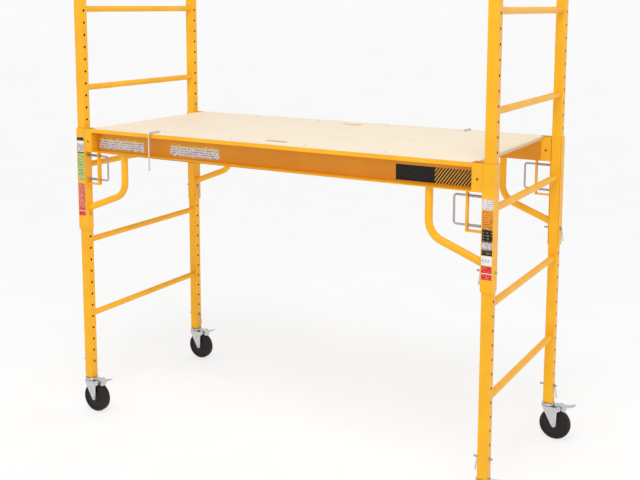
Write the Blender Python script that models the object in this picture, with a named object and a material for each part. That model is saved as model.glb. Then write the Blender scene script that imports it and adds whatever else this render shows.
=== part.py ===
"""Baker scaffold: two ladder end frames on braked casters, with a height-adjustable platform between them.

Metres, +Z up, the long front side faces -Y. Pieces are modelled about the point on the floor midway between
the four posts. The whole is then set over by FRAME_SHIFT, so the origin is under the middle of its box.
"""

import math

import bmesh
import bpy
from mathutils import Matrix, Vector

CORNERS = {
    "front_left": (-1, -1),
    "front_right": (1, -1),
    "rear_left": (-1, 1),
    "rear_right": (1, 1),
}
SIDES = {"front": -1, "rear": 1}

# The hole pitch is two inches, and every height that a pin uses is a whole number of pitches above the lowest hole.
PITCH = 0.0508
LOWEST_HOLE_Z = 0.2237
POST_HOLES = 34

# The cross pins reach past the left posts and the brake pedals reach further past the right ones.
FRAME_SHIFT = -0.034

# End frames.
POST_X = 0.910
POST_Y = 0.375
POST_HALF = 0.01905
POST_WALL = 0.002
POST_BOTTOM_Z = 0.152
POST_TOP_Z = 1.9205
POST_HOLE_RADIUS = 0.005
RUNG_COUNT = 5
RUNG_FIRST_Z = 0.4335
RUNG_SPACING = 0.3302
RUNG_RADIUS = 0.0127
RUNG_WALL = 0.0016
WELD_GAP = 0.0003

# Platform: side channels, sleeves that ride on the posts, and braces.
STEEL = 0.003
CHANNEL_HALF_LENGTH = 0.8487
CHANNEL_INNER_Y = 0.354
CHANNEL_OUTER_Y = 0.3977
CHANNEL_BOTTOM_Z = 1.1555
CHANNEL_SHELF_Z = 1.2415
CHANNEL_LIP_Z = 1.2540
LATCH_X = 0.53
LATCH_Y = 0.404
LATCH_ROD_RADIUS = 0.004
LUG_HALF_WIDTH = 0.0075
LUG_OUTER_Y = 0.4115
LUG_THICKNESS = 0.004
LUG_HOLE_RADIUS = 0.0046

SLEEVE_CLEAR = 0.0197
SLEEVE_OUTER = SLEEVE_CLEAR + STEEL
SLEEVE_BACK_Y = 0.358
SLEEVE_BOTTOM_Z = 0.8155
BLOCK_INNER_X = 0.849
BLOCK_BURIED_X = 0.889
BLOCK_OUTER_Y = 0.3972
BLOCK_TOP_Z = 1.2535
BLOCK_HOLE = (0.869, 1.1995)
BLOCK_HOLE_RADIUS = 0.005
GUIDE_X = (0.825, 0.831)
GUIDE_HALF_WIDTH = 0.010
GUIDE_BOTTOM_Z = 1.0145
GUIDE_ARM = 0.005
CLEAR_HOLE_RADIUS = 0.0048

BRACE_RADIUS = 0.014
BRACE_WALL = 0.002
BRACE_TOP_X = 0.6875
BRACE_BEND_RADIUS = 0.075
BRACE_BEND_Z = 1.040
BRACE_SLOPE = math.radians(21.2)
BRACE_END_X = 0.8870

# Spring-loaded U pins: two legs each, locking the sleeve to the post.
LEG_HOLES = (18, 16)
LEG_RADIUS = 0.004
LEG_TIP_X = 0.928
LEG_BAR_X = 0.780
LEG_BEND_RADIUS = 0.010
COLLAR_RADIUS = 0.0065
COLLAR_X = (0.8835, 0.8860)

# Loose cross pins: one through each sleeve, one through each caster stem.
PIN_RADIUS = 0.00395
PIN_COLLAR_RADIUS = 0.008
PIN_COLLAR = 0.003
PIN_GAP = 0.0004
BRACKET_PIN_HOLE = 13
# Each pair is how far the pin reaches from the post's centre line, first to -X and then to +X.
BRACKET_PIN_REACH = (0.0430, 0.0305)
CASTER_PIN_REACH = (0.0385, 0.0315)

# Deck.
DECK_BOTTOM_Z = 1.2418
DECK_TOP_Z = 1.2545
DECK_HALF_LENGTH = 0.846
DECK_HALF_WIDTH = 0.394
TONGUE_HALF_LENGTH = 0.857
TONGUE_HALF_WIDTH = 0.350
HAND_SLOT_X = 0.02
HAND_SLOT_Y = 0.305
HAND_SLOT_LENGTH = 0.100
HAND_SLOT_WIDTH = 0.028
MEMBER_X = (-0.50, -0.17, 0.17, 0.50)
MEMBER_SIZE = (0.030, 0.025)
MEMBER_WALL = 0.0015
LATCH_BOTTOM_Z = 1.1055
LATCH_ARM_Z = 1.2590
LATCH_ARM_END_Y = 0.336
LATCH_BEND_RADIUS = 0.008

# Casters, in metres from the stem axis. Every wheel trails towards +X.
WHEEL_RADIUS = 0.0635
TRAIL = 0.030
TREAD_HALF = 0.012
TREAD_SHOULDER = (0.0605, 0.016)
HUB_RADIUS = (0.016, 0.018)
HUB_HALF = 0.0210
CHEEK_Y = (0.0215, 0.0245)
CHEEK_BACK_X = -0.017
CHEEK_TOP_Z = 0.1379
CHEEK_TIP_RADIUS = 0.0095
CROWN_RADIUS = 0.028
CROWN_Z = (0.1328, 0.1388)
CROWN_PLATE = ((-0.016, -0.024, 0.1334), (0.042, 0.024, 0.1384))
AXLE_RADIUS = 0.0049
AXLE_HEAD_RADIUS = 0.0064
AXLE_HEAD_Y = (0.0230, 0.0270)
AXLE_BORE_RADIUS = 0.0054
KING_PIN_RADIUS = 0.006
KING_PIN_HOLE_RADIUS = 0.0066
KING_HEAD_RADIUS = 0.0095
KING_HEAD_Z = (0.1275, 0.1325)
RACEWAY_RADIUS = 0.026
RACEWAY_Z = (0.1393, 0.1500)
STEM_RADIUS = 0.0158
STEM_Z = (0.1515, 0.2450)
PEDAL_PIVOT = (0.050, 0.1375)
PEDAL_PIN_RADIUS = 0.0024
PEDAL_PIN_HALF = 0.0262
PEDAL_HOLE_RADIUS = 0.0030
PEDAL_HUB_RADIUS = 0.005
PEDAL_HUB_HALF = 0.0211
PEDAL_HALF_WIDTH = 0.015
PEDAL_THICKNESS = 0.003
SHOE_HALF_WIDTH = 0.013

FINISHES = {
    "yellow_powder_coat": ((0.90, 0.50, 0.045, 1.0), 0.0, 0.38),
    "bright_zinc": ((0.62, 0.63, 0.65, 1.0), 1.0, 0.35),
    "plywood": ((0.83, 0.68, 0.45, 1.0), 0.0, 0.70),
    "dark_polyurethane": ((0.030, 0.022, 0.020, 1.0), 0.0, 0.55),
}

AXES = {
    "x": (Vector((1, 0, 0)), Vector((0, 1, 0)), Vector((0, 0, 1))),
    "y": (Vector((0, 1, 0)), Vector((0, 0, 1)), Vector((1, 0, 0))),
    "z": (Vector((0, 0, 1)), Vector((1, 0, 0)), Vector((0, 1, 0))),
}


def hole_z(index):
    return LOWEST_HOLE_Z + index * PITCH


def solid(name, vertices, faces):
    """An object from points and faces, with its faces turned outwards."""
    mesh = bpy.data.meshes.new(name)
    bm = bmesh.new()
    made = [bm.verts.new(vertex) for vertex in vertices]
    for face in faces:
        bm.faces.new([made[index] for index in face])
    bmesh.ops.recalc_face_normals(bm, faces=bm.faces)
    bm.to_mesh(mesh)
    bm.free()
    obj = bpy.data.objects.new(name, mesh)
    bpy.context.scene.collection.objects.link(obj)
    return obj


def ring_faces(first, second, sides):
    return [
        (first + i, first + (i + 1) % sides, second + (i + 1) % sides, second + i)
        for i in range(sides)
    ]


def prism(name, outline, axis, low, high):
    """An outline drawn across an axis, in the order (y, z), (x, z) or (x, y), and pulled along it."""
    place = {
        "x": lambda a, b, depth: (depth, a, b),
        "y": lambda a, b, depth: (a, depth, b),
        "z": lambda a, b, depth: (a, b, depth),
    }[axis]
    count = len(outline)
    vertices = [place(a, b, depth) for depth in (low, high) for a, b in outline]
    ends = [tuple(range(count)), tuple(range(count, 2 * count))]
    return solid(name, vertices, ring_faces(0, count, count) + ends)


def box(name, low, high):
    outline = [(low[0], low[1]), (high[0], low[1]), (high[0], high[1]), (low[0], high[1])]
    return prism(name, outline, "z", low[2], high[2])


def lathe(name, centre, axis, profile, sides, bored=False):
    """Rings of (radius, distance along the axis). A bored piece joins its last ring to its first."""
    along, across, up = AXES[axis]
    vertices = []
    for radius, offset in profile:
        for i in range(sides):
            turn = 2 * math.pi * (i + 0.5) / sides
            spoke = across * math.cos(turn) + up * math.sin(turn)
            vertices.append(Vector(centre) + along * offset + spoke * radius)
    count = len(profile)
    faces = []
    for ring in range(count if bored else count - 1):
        faces += ring_faces(ring * sides, (ring + 1) % count * sides, sides)
    if not bored:
        faces += [tuple(range(sides)), tuple(range((count - 1) * sides, count * sides))]
    return solid(name, vertices, faces)


def rod(name, centre, axis, radius, low, high, sides):
    return lathe(name, centre, axis, [(radius, low), (radius, high)], sides)


def sweep(name, path, radius, sides, side_axis, end_normal=None):
    """A round bar along a path that lies across side_axis, mitred at each point."""
    path = [Vector(point) for point in path]
    steps = [(b - a).normalized() for a, b in zip(path, path[1:])]
    vertices = []
    for index, point in enumerate(path):
        before = steps[max(index - 1, 0)]
        after = steps[min(index, len(steps) - 1)]
        normal = (before + after).normalized()
        if end_normal is not None and index == len(path) - 1:
            normal = end_normal
        across = before.cross(side_axis).normalized()
        for i in range(sides):
            turn = 2 * math.pi * (i + 0.5) / sides
            spoke = (side_axis * math.cos(turn) + across * math.sin(turn)) * radius
            vertices.append(point + spoke - before * (spoke.dot(normal) / before.dot(normal)))
    faces = []
    for ring in range(len(path) - 1):
        faces += ring_faces(ring * sides, (ring + 1) * sides, sides)
    last = (len(path) - 1) * sides
    faces += [tuple(range(sides)), tuple(range(last, last + sides))]
    return solid(name, vertices, faces)


def arc(centre, radius, start, end, steps):
    """Points (a, b) on an arc, with its angles in degrees."""
    angles = [math.radians(start + (end - start) * i / steps) for i in range(steps + 1)]
    return [(centre[0] + radius * math.cos(t), centre[1] + radius * math.sin(t)) for t in angles]


def combine(target, operation, others):
    """Joins or cuts the target with each other object, and removes those objects."""
    for other in others:
        modifier = target.modifiers.new(other.name, "BOOLEAN")
        modifier.operation = operation
        modifier.solver = "EXACT"
        modifier.object = other
    graph = bpy.context.evaluated_depsgraph_get()
    mesh = bpy.data.meshes.new_from_object(target.evaluated_get(graph))
    target.modifiers.clear()
    target.data = mesh
    for other in others:
        bpy.data.objects.remove(other)
    return target


def fuse(target, *others):
    return combine(target, "UNION", others)


def cut(target, *others):
    return combine(target, "DIFFERENCE", others)


def finish(obj, look, origin=(0, 0, 0), carrier=None, smooth=False):
    """Gives a node its material, its origin and the piece that carries it."""
    colour, metallic, roughness = FINISHES[look]
    material = bpy.data.materials.new(f"{obj.name}_{look}")
    material.use_nodes = True
    shader = material.node_tree.nodes["Principled BSDF"]
    shader.inputs["Base Color"].default_value = colour
    shader.inputs["Metallic"].default_value = metallic
    shader.inputs["Roughness"].default_value = roughness
    obj.data.materials.clear()
    obj.data.materials.append(material)
    if smooth:
        obj.data.shade_smooth()
        obj.data.set_sharp_from_angle(angle=math.radians(35))
    obj.data.transform(Matrix.Translation(-Vector(origin)))
    hang(obj, origin, carrier)
    return obj


def hang(obj, origin, carrier):
    """Puts an object's origin at a world point. No piece is turned, so a place is a sum of offsets."""
    obj["world_origin"] = tuple(origin)
    obj.parent = carrier
    base = Vector(carrier["world_origin"]) if carrier else Vector()
    obj.location = Vector(origin) - base


def empty(name, origin, carrier=None):
    obj = bpy.data.objects.new(name, None)
    obj.empty_display_size = 0.05
    bpy.context.scene.collection.objects.link(obj)
    hang(obj, origin, carrier)
    return obj


def gather(name, pieces):
    """One object from pieces that don't touch."""
    bm = bmesh.new()
    for piece in pieces:
        bm.from_mesh(piece.data)
        bpy.data.objects.remove(piece)
    mesh = bpy.data.meshes.new(name)
    bm.to_mesh(mesh)
    bm.free()
    obj = bpy.data.objects.new(name, mesh)
    bpy.context.scene.collection.objects.link(obj)
    return obj


def make_post(name, sx, sy, carrier):
    x = sx * POST_X
    y = sy * POST_Y
    inner = POST_HALF - POST_WALL
    post = box(
        f"post_{name}",
        (x - POST_HALF, y - POST_HALF, POST_BOTTOM_Z),
        (x + POST_HALF, y + POST_HALF, POST_TOP_Z),
    )
    hollow = box(
        "hollow",
        (x - inner, y - inner, POST_BOTTOM_Z - 0.01),
        (x + inner, y + inner, POST_TOP_Z + 0.01),
    )
    cut(post, hollow)
    drills = [
        rod(f"drill_{i}", (x, y, hole_z(i)), "x", POST_HOLE_RADIUS, -0.03, 0.03, 6)
        for i in range(POST_HOLES)
    ]
    cut(post, gather("drills", drills))
    return finish(post, "yellow_powder_coat", carrier=carrier)


def make_rung(name, sx, z, carrier):
    half = POST_Y - POST_HALF - WELD_GAP
    inner = RUNG_RADIUS - RUNG_WALL
    profile = [(RUNG_RADIUS, -half), (RUNG_RADIUS, half), (inner, half), (inner, -half)]
    rung = lathe(name, (sx * POST_X, 0, z), "y", profile, 12, bored=True)
    return finish(rung, "yellow_powder_coat", carrier=carrier, smooth=True)


def make_side_channel(side, sy, carrier):
    outline = [
        (CHANNEL_INNER_Y, CHANNEL_BOTTOM_Z),
        (CHANNEL_OUTER_Y, CHANNEL_BOTTOM_Z),
        (CHANNEL_OUTER_Y, CHANNEL_BOTTOM_Z + STEEL),
        (CHANNEL_INNER_Y + STEEL, CHANNEL_BOTTOM_Z + STEEL),
        (CHANNEL_INNER_Y + STEEL, CHANNEL_SHELF_Z - STEEL),
        (CHANNEL_OUTER_Y, CHANNEL_SHELF_Z - STEEL),
        (CHANNEL_OUTER_Y, CHANNEL_LIP_Z),
        (CHANNEL_OUTER_Y - STEEL, CHANNEL_LIP_Z),
        (CHANNEL_OUTER_Y - STEEL, CHANNEL_SHELF_Z),
        (CHANNEL_INNER_Y, CHANNEL_SHELF_Z),
    ]
    outline = [(sy * y, z) for y, z in outline]
    channel = prism(
        f"side_channel_{side}", outline, "x", -CHANNEL_HALF_LENGTH, CHANNEL_HALF_LENGTH
    )
    x = sy * LATCH_X
    lugs = []
    drills = []
    for index, z in enumerate((CHANNEL_BOTTOM_Z + 0.0007, CHANNEL_SHELF_Z - 0.0015)):
        low = (x - LUG_HALF_WIDTH, sy * (CHANNEL_OUTER_Y - 0.0017), z)
        high = (x + LUG_HALF_WIDTH, sy * LUG_OUTER_Y, z + LUG_THICKNESS)
        lugs.append(box(f"lug_{index}", low, high))
        drills.append(
            rod(f"drill_{index}", (x, sy * LATCH_Y, z), "z", LUG_HOLE_RADIUS, -0.005, 0.009, 8)
        )
    fuse(channel, gather("lugs", lugs))
    cut(channel, gather("drills", drills))
    return finish(channel, "yellow_powder_coat", carrier=carrier)


def make_sleeve(name, sx, sy, carrier):
    """The bracket end that wraps the post: sleeve, end block for the channel, and guide for the U pin."""
    near = POST_X - SLEEVE_OUTER
    far = POST_X + SLEEVE_OUTER
    outer_y = POST_Y + SLEEVE_OUTER
    outline = [
        (near, SLEEVE_BACK_Y),
        (near + STEEL, SLEEVE_BACK_Y),
        (near + STEEL, outer_y - STEEL),
        (far - STEEL, outer_y - STEEL),
        (far - STEEL, SLEEVE_BACK_Y),
        (far, SLEEVE_BACK_Y),
        (far, outer_y),
        (near, outer_y),
    ]
    outline = [(sx * x, sy * y) for x, y in outline]
    sleeve = prism(f"post_sleeve_{name}", outline, "z", SLEEVE_BOTTOM_Z, CHANNEL_LIP_Z)
    block = box(
        "block",
        (sx * BLOCK_INNER_X, sy * CHANNEL_INNER_Y, CHANNEL_BOTTOM_Z),
        (sx * BLOCK_BURIED_X, sy * BLOCK_OUTER_Y, BLOCK_TOP_Z),
    )
    hollow = box(
        "hollow",
        (sx * (BLOCK_INNER_X + STEEL), sy * (CHANNEL_INNER_Y + STEEL), CHANNEL_BOTTOM_Z - 0.01),
        (sx * (near - STEEL), sy * (BLOCK_OUTER_Y - STEEL), BLOCK_TOP_Z + 0.01),
    )
    cut(block, hollow)
    fuse(sleeve, block, make_guide(sx, sy))
    cut(sleeve, gather("drills", sleeve_drills(sx, sy)))
    return finish(sleeve, "yellow_powder_coat", carrier=carrier)


def make_guide(sx, sy):
    outline = [
        (GUIDE_X[0], GUIDE_BOTTOM_Z),
        (BLOCK_BURIED_X, GUIDE_BOTTOM_Z),
        (BLOCK_BURIED_X, GUIDE_BOTTOM_Z + GUIDE_ARM),
        (GUIDE_X[1], GUIDE_BOTTOM_Z + GUIDE_ARM),
        (GUIDE_X[1], CHANNEL_BOTTOM_Z - WELD_GAP),
        (GUIDE_X[0], CHANNEL_BOTTOM_Z - WELD_GAP),
    ]
    outline = [(sx * x, z) for x, z in outline]
    y = sy * POST_Y
    return prism("guide", outline, "y", y - GUIDE_HALF_WIDTH, y + GUIDE_HALF_WIDTH)


def sleeve_drills(sx, sy):
    y = sy * POST_Y
    inner_wall = sx * (POST_X - SLEEVE_CLEAR + 0.004)
    drills = [
        rod(f"leg_drill_{i}", (0, y, hole_z(i)), "x", CLEAR_HOLE_RADIUS, sx * 0.815, inner_wall, 8)
        for i in LEG_HOLES
    ]
    pin_centre = (sx * POST_X, y, hole_z(BRACKET_PIN_HOLE))
    drills.append(rod("pin_drill", pin_centre, "x", CLEAR_HOLE_RADIUS, -0.03, 0.03, 8))
    block_centre = (sx * BLOCK_HOLE[0], y, BLOCK_HOLE[1])
    drills.append(rod("block_drill", block_centre, "y", BLOCK_HOLE_RADIUS, -0.035, 0.035, 10))
    return drills


def brace_path(sx, sy, overrun):
    centre = (BRACE_TOP_X + BRACE_BEND_RADIUS, BRACE_BEND_Z)
    end_angle = 270 - math.degrees(BRACE_SLOPE)
    bend = arc(centre, BRACE_BEND_RADIUS, 180, end_angle, 4)
    last_x, last_z = bend[-1]
    end_x = BRACE_END_X + overrun
    end_z = last_z - (end_x - last_x) * math.tan(BRACE_SLOPE)
    top = (BRACE_TOP_X, CHANNEL_BOTTOM_Z - WELD_GAP + overrun)
    return [(sx * x, sy * POST_Y, z) for x, z in [top] + bend + [(end_x, end_z)]]


def make_brace(name, sx, sy, carrier):
    along_y = Vector((0, 1, 0))
    face = Vector((1, 0, 0))
    brace = sweep(f"brace_{name}", brace_path(sx, sy, 0), BRACE_RADIUS, 12, along_y, face)
    inner = BRACE_RADIUS - BRACE_WALL
    cut(brace, sweep("hollow", brace_path(sx, sy, 0.01), inner, 12, along_y, face))
    return finish(brace, "yellow_powder_coat", carrier=carrier, smooth=True)


def make_spring_pin(name, sx, sy, carrier):
    upper, lower = (hole_z(i) for i in LEG_HOLES)
    bend_x = LEG_BAR_X + LEG_BEND_RADIUS
    top_bend = arc((bend_x, upper - LEG_BEND_RADIUS), LEG_BEND_RADIUS, 90, 180, 2)
    low_bend = arc((bend_x, lower + LEG_BEND_RADIUS), LEG_BEND_RADIUS, 180, 270, 2)
    path = [(LEG_TIP_X, upper)] + top_bend + low_bend + [(LEG_TIP_X, lower)]
    points = [(sx * x, sy * POST_Y, z) for x, z in path]
    pin = sweep(f"spring_pin_{name}", points, LEG_RADIUS, 8, Vector((0, 1, 0)))
    collars = [
        rod(
            f"collar_{i}",
            (0, sy * POST_Y, hole_z(i)),
            "x",
            COLLAR_RADIUS,
            sx * COLLAR_X[0],
            sx * COLLAR_X[1],
            10,
        )
        for i in LEG_HOLES
    ]
    fuse(pin, gather("collars", collars))
    origin = (sx * LEG_BAR_X, sy * POST_Y, (upper + lower) / 2)
    return finish(pin, "bright_zinc", origin, carrier, smooth=True)


def make_cross_pin(name, centre, side, face, reach, carrier):
    """A loose pin along X. It pulls out to the given side, where a collar sits just outside the face."""
    collar_in = face + PIN_GAP
    collar_out = collar_in + PIN_COLLAR
    head, tip = reach if side < 0 else reach[::-1]
    profile = [
        (PIN_RADIUS, head),
        (PIN_RADIUS, collar_out),
        (PIN_COLLAR_RADIUS, collar_out),
        (PIN_COLLAR_RADIUS, collar_in),
        (PIN_RADIUS, collar_in),
        (PIN_RADIUS, -tip + PIN_RADIUS / 2),
        (PIN_RADIUS / 2, -tip),
    ]
    pin = lathe(name, centre, "x", [(radius, side * d) for radius, d in profile], 10)
    return finish(pin, "bright_zinc", centre, carrier, smooth=True)


def make_deck_panel(carrier):
    quarter = [
        (TONGUE_HALF_LENGTH, TONGUE_HALF_WIDTH),
        (DECK_HALF_LENGTH, TONGUE_HALF_WIDTH),
        (DECK_HALF_LENGTH, DECK_HALF_WIDTH),
    ]
    outline = quarter + [(-x, y) for x, y in reversed(quarter)]
    outline += [(-x, -y) for x, y in quarter] + [(x, -y) for x, y in reversed(quarter)]
    panel = prism("deck_panel", outline, "z", DECK_BOTTOM_Z, DECK_TOP_Z)
    end_radius = HAND_SLOT_WIDTH / 2
    reach = HAND_SLOT_LENGTH / 2 - end_radius
    slots = []
    for side, sy in SIDES.items():
        y = sy * HAND_SLOT_Y
        slot = arc((HAND_SLOT_X + reach, y), end_radius, -90, 90, 6)
        slot += arc((HAND_SLOT_X - reach, y), end_radius, 90, 270, 6)
        slots.append(prism(f"slot_{side}", slot, "z", DECK_BOTTOM_Z - 0.01, DECK_TOP_Z + 0.01))
    cut(panel, gather("slots", slots))
    return finish(panel, "plywood", carrier=carrier)


def make_cross_member(number, x, carrier):
    half = MEMBER_SIZE[0] / 2
    top = DECK_BOTTOM_Z - WELD_GAP
    bottom = top - MEMBER_SIZE[1]
    length = TONGUE_HALF_WIDTH
    member = box(f"deck_cross_member_{number}", (x - half, -length, bottom), (x + half, length, top))
    hollow = box(
        "hollow",
        (x - half + MEMBER_WALL, -length - 0.01, bottom + MEMBER_WALL),
        (x + half - MEMBER_WALL, length + 0.01, top - MEMBER_WALL),
    )
    cut(member, hollow)
    return finish(member, "yellow_powder_coat", carrier=carrier)


def make_deck_latch(side, sy, carrier):
    """A bent rod: it drops through two lugs of the side channel, and its arm lies on the deck."""
    x = sy * LATCH_X
    centre = (LATCH_Y - LATCH_BEND_RADIUS, LATCH_ARM_Z - LATCH_BEND_RADIUS)
    bend = arc(centre, LATCH_BEND_RADIUS, 0, 90, 3)
    path = [(LATCH_Y, LATCH_BOTTOM_Z)] + bend + [(LATCH_ARM_END_Y, LATCH_ARM_Z)]
    points = [(x, sy * y, z) for y, z in path]
    latch = sweep(f"deck_latch_{side}", points, LATCH_ROD_RADIUS, 10, Vector((1, 0, 0)))
    return finish(latch, "bright_zinc", (x, sy * LATCH_Y, LATCH_ARM_Z), carrier, smooth=True)


def make_caster_stem(name, x, y, carrier):
    """The part that stays in the post: king pin, raceway flange and drilled stem."""
    profile = [
        (KING_HEAD_RADIUS, KING_HEAD_Z[0]),
        (KING_HEAD_RADIUS, KING_HEAD_Z[1]),
        (KING_PIN_RADIUS, KING_HEAD_Z[1]),
        (KING_PIN_RADIUS, RACEWAY_Z[0]),
        (RACEWAY_RADIUS, RACEWAY_Z[0]),
        (RACEWAY_RADIUS, RACEWAY_Z[1]),
        (STEM_RADIUS, STEM_Z[0]),
        (STEM_RADIUS, STEM_Z[1]),
    ]
    stem = lathe(f"caster_stem_{name}", (x, y, 0), "z", profile, 16)
    cut(stem, rod("drill", (x, y, hole_z(0)), "x", CLEAR_HOLE_RADIUS, -0.03, 0.03, 8))
    return finish(stem, "bright_zinc", carrier=carrier, smooth=True)


def cheek_outline():
    """One side plate of the fork, from the stem axis: it narrows to the axle and has an ear for the pedal."""
    outline = [(CHEEK_BACK_X, CHEEK_TOP_Z), (CHEEK_BACK_X, 0.1290)]
    outline += arc((TRAIL, WHEEL_RADIUS), CHEEK_TIP_RADIUS, 200, 350, 4)
    outline += [(0.0425, 0.1200), (0.0570, 0.1290), (0.0570, 0.1445)]
    outline += [(0.0440, 0.1445), (0.0410, CHEEK_TOP_Z)]
    return outline


def make_caster_fork(name, x, y, carrier):
    """Crown, two cheeks with ears for the pedal, and the riveted axle."""
    crown = [(CROWN_RADIUS, CROWN_Z[0]), (CROWN_RADIUS, CROWN_Z[1])]
    fork = lathe(f"caster_fork_{name}", (x, y, 0), "z", crown, 16)
    low, high = (Vector((x, y, 0)) + Vector(corner) for corner in CROWN_PLATE)
    outline = [(x + a, b) for a, b in cheek_outline()]
    cheeks = [
        prism(f"cheek_{sy}", outline, "y", y + sy * CHEEK_Y[0], y + sy * CHEEK_Y[1])
        for sy in SIDES.values()
    ]
    half = [
        (AXLE_RADIUS, AXLE_HEAD_Y[0]),
        (AXLE_HEAD_RADIUS, AXLE_HEAD_Y[0]),
        (AXLE_HEAD_RADIUS, AXLE_HEAD_Y[1]),
    ]
    profile = [(radius, -depth) for radius, depth in reversed(half)] + half
    axle = lathe("axle", (x + TRAIL, y, WHEEL_RADIUS), "y", profile, 12)
    fuse(fork, box("crown_plate", low, high), *cheeks, axle)
    king = rod("king_drill", (x, y, 0), "z", KING_PIN_HOLE_RADIUS, 0.120, 0.150, 12)
    pivot = (x + PEDAL_PIVOT[0], y, PEDAL_PIVOT[1])
    cut(fork, king, rod("ear_drill", pivot, "y", PEDAL_HOLE_RADIUS, -0.03, 0.03, 8))
    return finish(fork, "bright_zinc", (x, y, CROWN_Z[1]), carrier)


def make_caster_wheel(name, x, y, carrier):
    side = [
        (WHEEL_RADIUS, TREAD_HALF),
        TREAD_SHOULDER,
        (HUB_RADIUS[1], TREAD_SHOULDER[1]),
        (HUB_RADIUS[0], HUB_HALF),
        (AXLE_BORE_RADIUS, HUB_HALF),
    ]
    profile = [(radius, -depth) for radius, depth in reversed(side)] + side
    centre = (x + TRAIL, y, WHEEL_RADIUS)
    wheel = lathe(f"caster_wheel_{name}", centre, "y", profile, 24, bored=True)
    return finish(wheel, "dark_polyurethane", centre, carrier, smooth=True)


def pedal_outlines():
    """Side views of the dished foot plate and of the shoe under it, from the stem axis."""
    dished = [(0.030, 0.1440), (0.050, 0.1430), (0.070, 0.1425), (0.088, 0.1455), (0.111, 0.1540)]
    plate = dished + [(a, b + PEDAL_THICKNESS) for a, b in reversed(dished)]
    shoe = [
        (0.0445, 0.1375),
        (0.0445, 0.1445),
        (0.0700, 0.1440),
        (0.0735, 0.1300),
        (0.0720, 0.1215),
        (0.0620, 0.1245),
    ]
    return plate, shoe


def make_brake_pedal(name, x, y, carrier):
    """Foot lever with its pivot pin and the shoe that comes down on the tread."""
    pivot = (x + PEDAL_PIVOT[0], y, PEDAL_PIVOT[1])
    half = [
        (PEDAL_HUB_RADIUS, PEDAL_HUB_HALF),
        (PEDAL_PIN_RADIUS, PEDAL_HUB_HALF),
        (PEDAL_PIN_RADIUS, PEDAL_PIN_HALF),
    ]
    profile = [(radius, -depth) for radius, depth in reversed(half)] + half
    pedal = lathe(f"brake_pedal_{name}", pivot, "y", profile, 10)
    for outline, half_width in zip(pedal_outlines(), (PEDAL_HALF_WIDTH, SHOE_HALF_WIDTH)):
        outline = [(x + a, b) for a, b in outline]
        fuse(pedal, prism("plate", outline, "y", y - half_width, y + half_width))
    return finish(pedal, "bright_zinc", pivot, carrier)


def make_caster(name, sx, sy, frame):
    x = sx * POST_X
    y = sy * POST_Y
    make_caster_stem(name, x, y, frame)
    pin_centre = (x, y, hole_z(0))
    make_cross_pin(f"caster_pin_{name}", pin_centre, sy, POST_HALF, CASTER_PIN_REACH, frame)
    fork = make_caster_fork(name, x, y, frame)
    make_caster_wheel(name, x, y, fork)
    make_brake_pedal(name, x, y, fork)


def make_end_frames():
    frame = empty("frame", (0, 0, 0))
    for name, (sx, sy) in CORNERS.items():
        make_post(name, sx, sy, frame)
        make_caster(name, sx, sy, frame)
    for side, sx in (("left", -1), ("right", 1)):
        for number in range(RUNG_COUNT):
            z = RUNG_FIRST_Z + number * RUNG_SPACING
            make_rung(f"rung_{side}_{number + 1}", sx, z, frame)
    return frame


def make_platform(frame):
    platform = empty("platform", (0, 0, CHANNEL_BOTTOM_Z), frame)
    for side, sy in SIDES.items():
        make_side_channel(side, sy, platform)
    for name, (sx, sy) in CORNERS.items():
        make_sleeve(name, sx, sy, platform)
        make_brace(name, sx, sy, platform)
        make_spring_pin(name, sx, sy, platform)
        centre = (sx * POST_X, sy * POST_Y, hole_z(BRACKET_PIN_HOLE))
        pin = f"bracket_pin_{name}"
        make_cross_pin(pin, centre, sy, SLEEVE_OUTER, BRACKET_PIN_REACH, platform)
    return platform


def make_deck(platform):
    deck = empty("deck", (0, 0, DECK_BOTTOM_Z), platform)
    make_deck_panel(deck)
    for number, x in enumerate(MEMBER_X):
        make_cross_member(number + 1, x, deck)
    for side, sy in SIDES.items():
        make_deck_latch(side, sy, deck)


def main():
    for obj in list(bpy.data.objects):
        bpy.data.objects.remove(obj)
    frame = make_end_frames()
    make_deck(make_platform(frame))
    frame.location.x = FRAME_SHIFT


main()
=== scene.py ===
"""Looks of the baker scaffold.

Powder-coated steel, zinc hardware, a plywood deck, dark wheels and labels without lettering.
Lengths are in metres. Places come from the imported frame, and offsets from it are named below.
"""

import math

import bmesh
import bpy
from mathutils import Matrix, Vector


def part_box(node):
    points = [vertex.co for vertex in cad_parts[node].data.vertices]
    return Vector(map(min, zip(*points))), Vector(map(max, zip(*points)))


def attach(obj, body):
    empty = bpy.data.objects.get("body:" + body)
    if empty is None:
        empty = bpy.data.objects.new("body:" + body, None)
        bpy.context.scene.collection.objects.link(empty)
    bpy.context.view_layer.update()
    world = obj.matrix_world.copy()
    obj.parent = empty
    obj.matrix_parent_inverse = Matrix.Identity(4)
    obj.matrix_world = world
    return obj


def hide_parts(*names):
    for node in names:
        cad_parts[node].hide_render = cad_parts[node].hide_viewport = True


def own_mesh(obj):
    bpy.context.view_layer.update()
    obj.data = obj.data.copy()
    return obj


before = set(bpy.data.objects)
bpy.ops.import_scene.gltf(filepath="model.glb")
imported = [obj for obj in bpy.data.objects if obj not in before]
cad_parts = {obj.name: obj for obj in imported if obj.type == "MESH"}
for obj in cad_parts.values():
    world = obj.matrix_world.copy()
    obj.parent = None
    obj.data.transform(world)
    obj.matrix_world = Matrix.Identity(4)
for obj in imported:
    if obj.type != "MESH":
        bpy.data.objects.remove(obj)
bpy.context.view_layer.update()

CORNERS = {
    "front_left": (-1, -1),
    "front_right": (1, -1),
    "rear_left": (-1, 1),
    "rear_right": (1, 1),
}
SIDES = {"front": -1, "rear": 1}
X_AXIS = Vector((1, 0, 0))
Y_AXIS = Vector((0, 1, 0))
Z_AXIS = Vector((0, 0, 1))

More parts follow.
